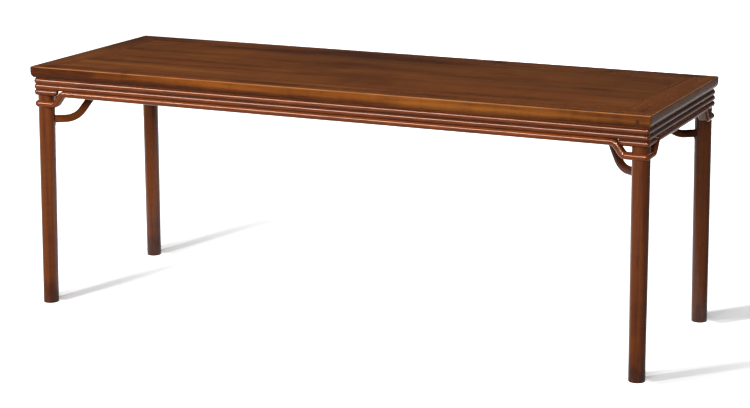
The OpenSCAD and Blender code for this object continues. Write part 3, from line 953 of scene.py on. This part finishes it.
def brace_shape(top, legs, braces):
    """A brace: level out of the leg, curved up, straight, and curved level under the batten."""
    height, width, edge_r, line = mm(braces, "height", "width", "edge_radius", "slope_length")
    low_r, high_r, lap, ease = mm(braces, "low_radius", "high_radius", "lap", "head_ease")
    low, reach, _ = brace_place(top, legs, braces)
    level = reach - lap / 2 - slope_span(low_r + high_r, line, braces.slope)[0]
    root = leg_radius(legs, low, underside(top)) / 2
    y, z = width / 2 - edge_r, height / 2 - edge_r
    bar = Bar().draw(
        (-y, -height / 2),
        [
            (-y, -z, -90, 6),
            (-width / 2, z),
            (-y, z, -90, 6),
            (y, height / 2),
            (y, z, -90, 6),
            (width / 2, -z),
            (y, -z, -90, 6),
            (-y, -height / 2),
        ],
        x=root,
    )
    bar.straight((level - root, 0, 0))
    bar.slope(level, 0, -braces.slope, (low_r, high_r), line, steps=(16, 14))
    bar.run((lap, 0, 0))
    bar.close()
    ends = [face for face in end_faces(bar.bm) if face.calc_center_median().x > reach]
    soften(bar.bm, rim(ends), ease, segments=3)
    return bar.bm


def block(low, high, ease):
    """A small block with eased edges, as a mesh of its own."""
    bm = bmesh.new()
    bmesh.ops.create_cube(bm, size=1.0)
    bmesh.ops.scale(bm, vec=Vector(high) - Vector(low), verts=bm.verts[:])
    bmesh.ops.translate(bm, vec=(Vector(low) + Vector(high)) / 2, verts=bm.verts[:])
    soften(bm, bm.edges[:], ease)
    return bm


def dowel(diameter, length, ease):
    """A pin that stands on the origin, with its lower rim eased."""
    bm = bmesh.new()
    bmesh.ops.create_circle(bm, cap_ends=True, segments=28, radius=diameter / 2)
    grown = bmesh.ops.extrude_face_region(bm, geom=bm.faces[:])["geom"]
    bmesh.ops.translate(bm, verts=of_kind(grown, VERT), vec=(0, 0, length))
    base = [edge for edge in bm.edges if all(abs(vert.co.z) < WELD for vert in edge.verts)]
    bmesh.ops.recalc_face_normals(bm, faces=bm.faces[:])
    soften(bm, base, ease)
    return bm


def gathered(shapes):
    """Joins copies of shapes, each with its place, into one mesh."""
    whole = bmesh.new()
    for bm, place in shapes:
        bmesh.ops.transform(bm, matrix=place, verts=bm.verts[:])
        part = mesh_of("part", bm)
        whole.from_mesh(part)
        bpy.data.meshes.remove(part)
    return whole


# Operators

class TABLE_OT_rails(bpy.types.Operator):
    """Make the four mitred rails of the top's frame"""

    bl_idname = "table.rails"
    bl_label = "Frame rails"

    def execute(self, context):
        top, colours = chosen(context, "top", "colours")
        for k, side in enumerate(SIDES):
            finish = hardwood(
                "frame_wood_" + side, colours.frame_light, colours.frame_dark, turn=side_turn(k),
                shift=(0.3 * k, 0.2, 0), figure=1.5 if side == "front" else 1.2,
                patch=0.9 if side == "back" else 0.45, gold=0.6, gloss=0.24, arris=0.75,
                marks_and_shade=RAIL_MARKS_AND_SHADE.get(side),
            )
            rail = rail_shape(top, side_length(top, k))
            piece("top_rail_" + side, rail, on_side(top, k), finish, "frame_wood")
        return {"FINISHED"}


class TABLE_OT_panel(bpy.types.Operator):
    """Finish the panel boards and the battens under them"""

    bl_idname = "table.panel"
    bl_label = "Panel and battens"

    def execute(self, context):
        colours = context.scene.table_colours
        for i, side in enumerate(("front", "back")):
            repaint("panel_board_" + side, hardwood(
                "panel_wood_" + side, colours.panel_light, colours.panel_dark,
                shift=(0.7 * i, 0, 0), figure=1.2, gold=0.6, marks_and_shade=top_back_darkening,
            ))
        raw = hardwood("batten_wood", colours.batten_light, colours.batten_dark, turn=WITH_Y, gloss=0.5)
        for name in BATTENS:
            repaint("batten_" + name, raw)
        return {"FINISHED"}


class TABLE_OT_mouldings(bpy.types.Operator):
    """Make the two rows of beads and the four collars"""

    bl_idname = "table.mouldings"
    bl_label = "Beads and collars"

    def execute(self, context):
        top, mouldings, colours = chosen(context, "top", "mouldings", "colours")
        height, gap = mm(mouldings, "height", "gap_height")
        upper = underside(top) - gap - height
        # The mouldings get painted shade in the grooves between the beads
        woods = [
            hardwood(
                "moulding_wood_" + way, colours.moulding_light, colours.moulding_dark, turn=turn,
                gloss=0.12, specular=0.5, relief=0.004, groove=0.6,
            )
            for way, turn in (("long", WITH_X), ("short", WITH_Y))
        ]
        for k, side in enumerate(SIDES):
            for row, low, lifted in (("upper", upper, gap), ("lower", upper - height, 0.0)):
                bead = bead_shape(top, mouldings, side_length(top, k), low, lifted)
                piece(row + "_bead_" + side, bead, on_side(top, k), woods[k % 2], "moulding_wood")
        for corner in CORNERS:
            collar = collar_shape(mouldings, upper - 2 * height)
            piece("collar_" + corner, collar, at_corner(top, corner), woods[0], "moulding_wood")
        return {"FINISHED"}


class TABLE_OT_stretchers(bpy.types.Operator):
    """Make the four hump-back stretchers"""

    bl_idname = "table.stretchers"
    bl_label = "Stretchers"

    def execute(self, context):
        top, mouldings, stretchers, colours = chosen(context, "top", "mouldings", "stretchers", "colours")
        beads = 2 * mouldings.height + mouldings.gap_height
        hump_z = underside(top) - beads / MM - stretchers.height / MM / 2
        for k, side in enumerate(SIDES):
            finish = hardwood(
                "stretcher_wood_" + side, colours.moulding_light, colours.moulding_dark,
                turn=side_turn(k), shift=(0.2 + 0.4 * k, 0.1, 0.3), gloss=0.12, specular=0.5, relief=0.004,
            )
            stretcher = stretcher_shape(top, stretchers, side_length(top, k), hump_z)
            piece("stretcher_" + side, stretcher, on_side(top, k), finish, "moulding_wood")
        return {"FINISHED"}


class TABLE_OT_legs(bpy.types.Operator):
    """Make the four round legs"""

    bl_idname = "table.legs"
    bl_label = "Legs"

    def execute(self, context):
        top, mouldings, legs, colours = chosen(context, "top", "mouldings", "legs", "colours")
        whole = underside(top)
        low_bead = whole - (3 * mouldings.height + mouldings.gap_height) / MM
        bead_back = sum(mm(mouldings, "inset", "depth"))
        finish = hardwood(
            "leg_wood", colours.leg_light, colours.leg_dark, turn=WITH_Z,
            figure=1.4, gloss=0.15, specular=0.25, tint=WHITE, marks_and_shade=foot_darkening,
        )
        for corner in CORNERS:
            leg = leg_shape(legs, low_bead, whole, bead_back)
            piece("leg_" + corner, leg, at_corner(top, corner), finish, "leg_wood")
        return {"FINISHED"}


class TABLE_OT_braces(bpy.types.Operator):
    """Make the four curved braces"""

    bl_idname = "table.braces"
    bl_label = "Braces"

    def execute(self, context):
        top, legs, braces, colours = chosen(context, "top", "legs", "braces", "colours")
        for corner in CORNERS:
            heading = math.pi - braces.plan if "right" in corner else braces.plan
            # The three braces that the main lamp leaves in shade get more figure and stronger dark patches:
            # painted shade
            plain = corner == "front_left"
            finish = hardwood(
                "brace_wood_" + corner, colours.leg_light, colours.leg_dark,
                turn=(0, -braces.slope * 0.6, -heading if "back" in corner else heading),
                figure=1.0 if plain else 2.3, patch=0.45 if plain else 1.0, gloss=0.19, marks_and_shade=brace_shade,
            )
            brace = brace_shape(top, legs, braces)
            piece("brace_" + corner, brace, along_brace(top, legs, braces, corner), finish, "leg_wood")
        return {"FINISHED"}


class TABLE_OT_fasteners(bpy.types.Operator):
    """Make the wedges and the pins that show, and finish the hidden pegs"""

    bl_idname = "table.fasteners"
    bl_label = "Wedges, pins and pegs"

    def execute(self, context):
        top, legs, braces, colours = chosen(context, "top", "legs", "braces", "colours")
        finish = hardwood("peg_wood", colours.peg_light, colours.peg_dark, turn=WITH_Z, gloss=0.5)
        height, wedge_l, wedge_w, wedge_h = mm(
            braces, "height", "wedge_length", "wedge_width", "wedge_height"
        )
        pin, pin_depth, mitre_pin, proud, ease = mm(braces, "pin", "pin_depth", "mitre_pin", "proud", "ease")
        low, reach, climb = brace_place(top, legs, braces)
        face = leg_radius(legs, low, underside(top)) + proud
        wedge_low = (face - wedge_l, -wedge_w / 2, -height / 2 - wedge_h)
        wedge_high = (face, wedge_w / 2, -height / 2)
        head = Matrix.Translation((reach, 0, climb - height / 2 - proud))
        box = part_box("mitre_pins")
        mitre = Matrix.Translation((
            top.length / MM / 2 - box[1].x / MM + pin / 2,
            top.depth / MM / 2 - box[1].y / MM + pin / 2,
            underside(top) - proud,
        ))
        shapes = {"brace_wedges": [], "brace_pins": [], "mitre_pins": []}
        for corner in CORNERS:
            place = along_brace(top, legs, braces, corner)
            shapes["brace_wedges"].append((block(wedge_low, wedge_high, ease), place))
            shapes["brace_pins"].append((dowel(pin, height + pin_depth + proud, ease), place @ head))
            shapes["mitre_pins"].append((dowel(pin, mitre_pin, ease), at_corner(top, corner) @ mitre))
        for node, copies in shapes.items():
            piece(node, gathered(copies), Matrix.Identity(4), finish, "peg_wood")
        for node in HIDDEN_PEGS:
            repaint(node, finish)
        return {"FINISHED"}


class TABLE_OT_stage(bpy.types.Operator):
    """Make the floor, the lights, the world and the camera"""

    bl_idname = "table.stage"
    bl_label = "Stage"

    def execute(self, context):
        floor(*chosen(context, "top", "legs"))
        lights()
        world(context.scene)
        camera(context.scene)
        context.scene.view_settings.view_transform = "Standard"
        return {"FINISHED"}


# Stage

def leg_shadow(finish, foot):
    """1 on the strip of floor where the main lamp throws a leg's shadow, fading to 0 away from the foot."""
    away = foot - KEY_PLACE
    place = finish.grain((0, 0, -math.atan2(away.x, away.y)), foot)
    across = finish.math("ABSOLUTE", finish.axis(place, 0))
    along = finish.axis(place, 1)
    strip = finish.ramp(across, SHADOW_WIDE, SHADOW_CORE) * finish.ramp(along, 0.0, SHADOW_CORE)
    return strip * finish.ramp(along, SHADOW_REACH, 0.0)


def mirrored_floor(finish):
    """How white the floor shows in the wax: more under and behind the table than elsewhere."""
    near = finish.ramp(finish.at(1), *MIRRORED_FRONT) * finish.ramp(finish.at(0), *MIRRORED_RIGHT)
    return near * MIRRORED_MORE + MIRRORED


def floor(top, legs):
    """A wide white floor that keeps the shadows of the legs."""
    bm = bmesh.new()
    bmesh.ops.create_grid(bm, x_segments=1, y_segments=1, size=FLOOR_SIZE)
    made = placed("floor", mesh_of("floor", bm))
    finish = Finish("floor_white")
    glossy = finish.ray("Glossy") * mirrored_floor(finish)
    seen = (finish.ray("Camera") + finish.ray("Transmission") + glossy).clamped()
    finish.set(Roughness=0.9, Specular_IOR_Level=0.0, Base_Color=finish.mix(seen, FLOOR_GREY, FLOOR_WHITE))
    foot_x, foot_y = top.length / 2 - legs.inset, top.depth / 2 - legs.inset
    feet = [Vector((x * foot_x, y * foot_y, 0.0)) for x in (-1, 1) for y in (-1, 1)]
    shaded = sum(leg_shadow(finish, foot) for foot in feet).clamped()
    glow = finish.add("ShaderNodeEmission", None, {"Color": WHITE, "Strength": 1.0})
    lit = finish.add("ShaderNodeMixShader", None, {
        0: seen * (1.0 - shaded * SHADOW_DEPTH),
        1: finish.own(),
        2: finish.add("ShaderNodeAddShader", None, {0: finish.own(), 1: glow}),
    })
    under = finish.add("ShaderNodeNewGeometry", output="Backfacing")
    finish.surface(under, lit, finish.add("ShaderNodeBsdfTransparent"))
    made.data.materials.append(finish.material)


def lamp(name, place, target, width, height, watts, slot=None, gloss=True, light=True):
    """A rectangular lamp that points at a target. It lights, or shows in the gloss of, all or one slot."""
    data = bpy.data.lights.new(name, "AREA")
    data.shape = "RECTANGLE"
    data.size = width
    data.size_y = height
    data.energy = watts
    made = placed(name, data)
    made.location = place
    made.rotation_euler = (Vector(target) - Vector(place)).to_track_quat("-Z", "Y").to_euler()
    made.visible_glossy = gloss
    made.visible_diffuse = light
    if slot:
        made.light_linking.receiver_collection = collection(slot)


def lights():
    """A main lamp from the front left, four that soften it, and four that only show in the gloss."""
    for name, values in LIGHT_LAMPS.items():
        lamp(name, *values, gloss=False)
    for name, values in GLOSS_LAMPS.items():
        lamp(name, *values, light=False)


def world(scene):
    """Soft light from all round, and white where the camera sees it."""
    made = bpy.data.worlds.new("studio")
    scene.world = made
    nodes = Nodes(made, "Background", "World Output")
    nodes.set(Color=WHITE, Strength=ROUND_LIGHT - nodes.ray("Glossy") * (ROUND_LIGHT - ROUND_GLOSS))
    seen = (nodes.ray("Camera") + nodes.ray("Transmission")).clamped()
    white = nodes.add("ShaderNodeBackground", None, {"Color": WHITE, "Strength": 1.0})
    nodes.surface(seen, nodes.own(), white)


def camera(scene):
    """The camera at the photograph's viewing angle."""
    yaw, pitch, roll = CAMERA_TURN
    data = bpy.data.cameras.new("camera")
    data.sensor_width = SENSOR_WIDTH
    data.lens = CAMERA_LENS
    made = placed("camera", data)
    made.matrix_world = (
        Matrix.Translation(CAMERA_PLACE)
        @ Matrix.Rotation(-yaw, 4, "Z")
        @ Matrix.Rotation(math.radians(90) - pitch, 4, "X")
        @ Matrix.Rotation(roll, 4, "Z")
    )
    scene.camera = made


class TABLE_PT_panel(bpy.types.Panel):
    """Sizes, colours and the buttons that build the table"""

    bl_idname = "TABLE_PT_panel"
    bl_label = "Painting table"
    bl_space_type = "VIEW_3D"
    bl_region_type = "UI"
    bl_category = "Table"

    def draw(self, context):
        for name, group in GROUPS.items():
            box = self.layout.box()
            box.label(text=group.__doc__)
            for key in group.__annotations__:
                box.prop(getattr(context.scene, name), key)
        for operator in OPERATORS:
            self.layout.operator(operator.bl_idname)


OPERATORS = (
    TABLE_OT_rails,
    TABLE_OT_panel,
    TABLE_OT_mouldings,
    TABLE_OT_stretchers,
    TABLE_OT_legs,
    TABLE_OT_braces,
    TABLE_OT_fasteners,
    TABLE_OT_stage,
)
CLASSES = (*GROUPS.values(), *OPERATORS, TABLE_PT_panel)


def register():
    """Registers the classes and the settings."""
    for item in CLASSES:
        bpy.utils.register_class(item)
    for name, group in GROUPS.items():
        setattr(bpy.types.Scene, name, bpy.props.PointerProperty(type=group))


def unregister():
    """Removes the settings and the classes."""
    for name in GROUPS:
        delattr(bpy.types.Scene, name)
    for item in reversed(CLASSES):
        bpy.utils.unregister_class(item)


def main():
    """Builds the table."""
    register()
    bpy.ops.table.rails()
    bpy.ops.table.panel()
    bpy.ops.table.mouldings()
    bpy.ops.table.stretchers()
    bpy.ops.table.legs()
    bpy.ops.table.braces()
    bpy.ops.table.fasteners()
    bpy.ops.table.stage()


if __name__ == "__main__":
    main()
